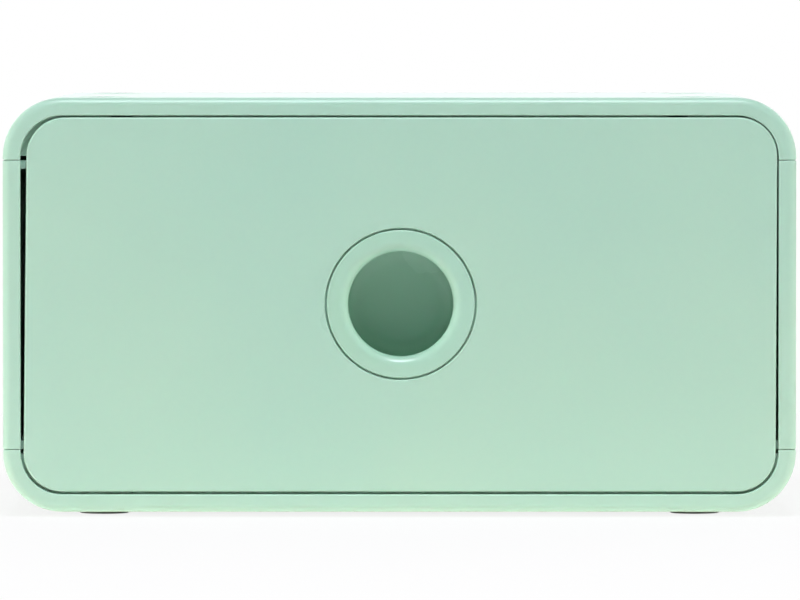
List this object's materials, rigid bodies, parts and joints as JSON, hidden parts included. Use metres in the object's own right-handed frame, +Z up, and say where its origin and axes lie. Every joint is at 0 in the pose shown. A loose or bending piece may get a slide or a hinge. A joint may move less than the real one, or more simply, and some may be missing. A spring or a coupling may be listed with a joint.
{
  "type": "stackable drawer box",
  "caption": "Stackable desktop drawer box: a rounded snap-together plastic case holds a pull-out drawer with a flush front and a round recessed finger pull.",
  "frame": {"origin": "on the surface the box stands on, under the middle of the case", "axes": "+Z up; the drawer front faces -Y and the drawer pulls out along -Y; +X to the right as seen from the front"},
  "size_m": [0.2, 0.15, 0.1057],
  "materials": {
    "case_plastic": "satin moulded pale mint green plastic with a fine spark-eroded grain",
    "drawer_plastic": "satin moulded pale mint green plastic with a fine spark-eroded grain",
    "pad_rubber": "soft matt frosted silicone, pale and half clear"
  },
  "bodies": {
    "case": {"top_shell": "case_plastic", "bottom_shell": "case_plastic", "left_side_panel": "case_plastic", "right_side_panel": "case_plastic", "back_panel": "case_plastic", "foot_pad_front_left": "pad_rubber", "foot_pad_front_right": "pad_rubber", "foot_pad_rear_left": "pad_rubber", "foot_pad_rear_right": "pad_rubber"},
    "drawer": {"drawer_tray": "drawer_plastic", "drawer_front": "drawer_plastic", "finger_ring": "drawer_plastic", "finger_cup": "drawer_plastic"}
  },
  "joints": [
    {"name": "drawer_slide", "type": "slide", "parent": "case", "child": "drawer", "axis": [0, -1, 0], "range_m": [0, 0.108]}
  ]
}
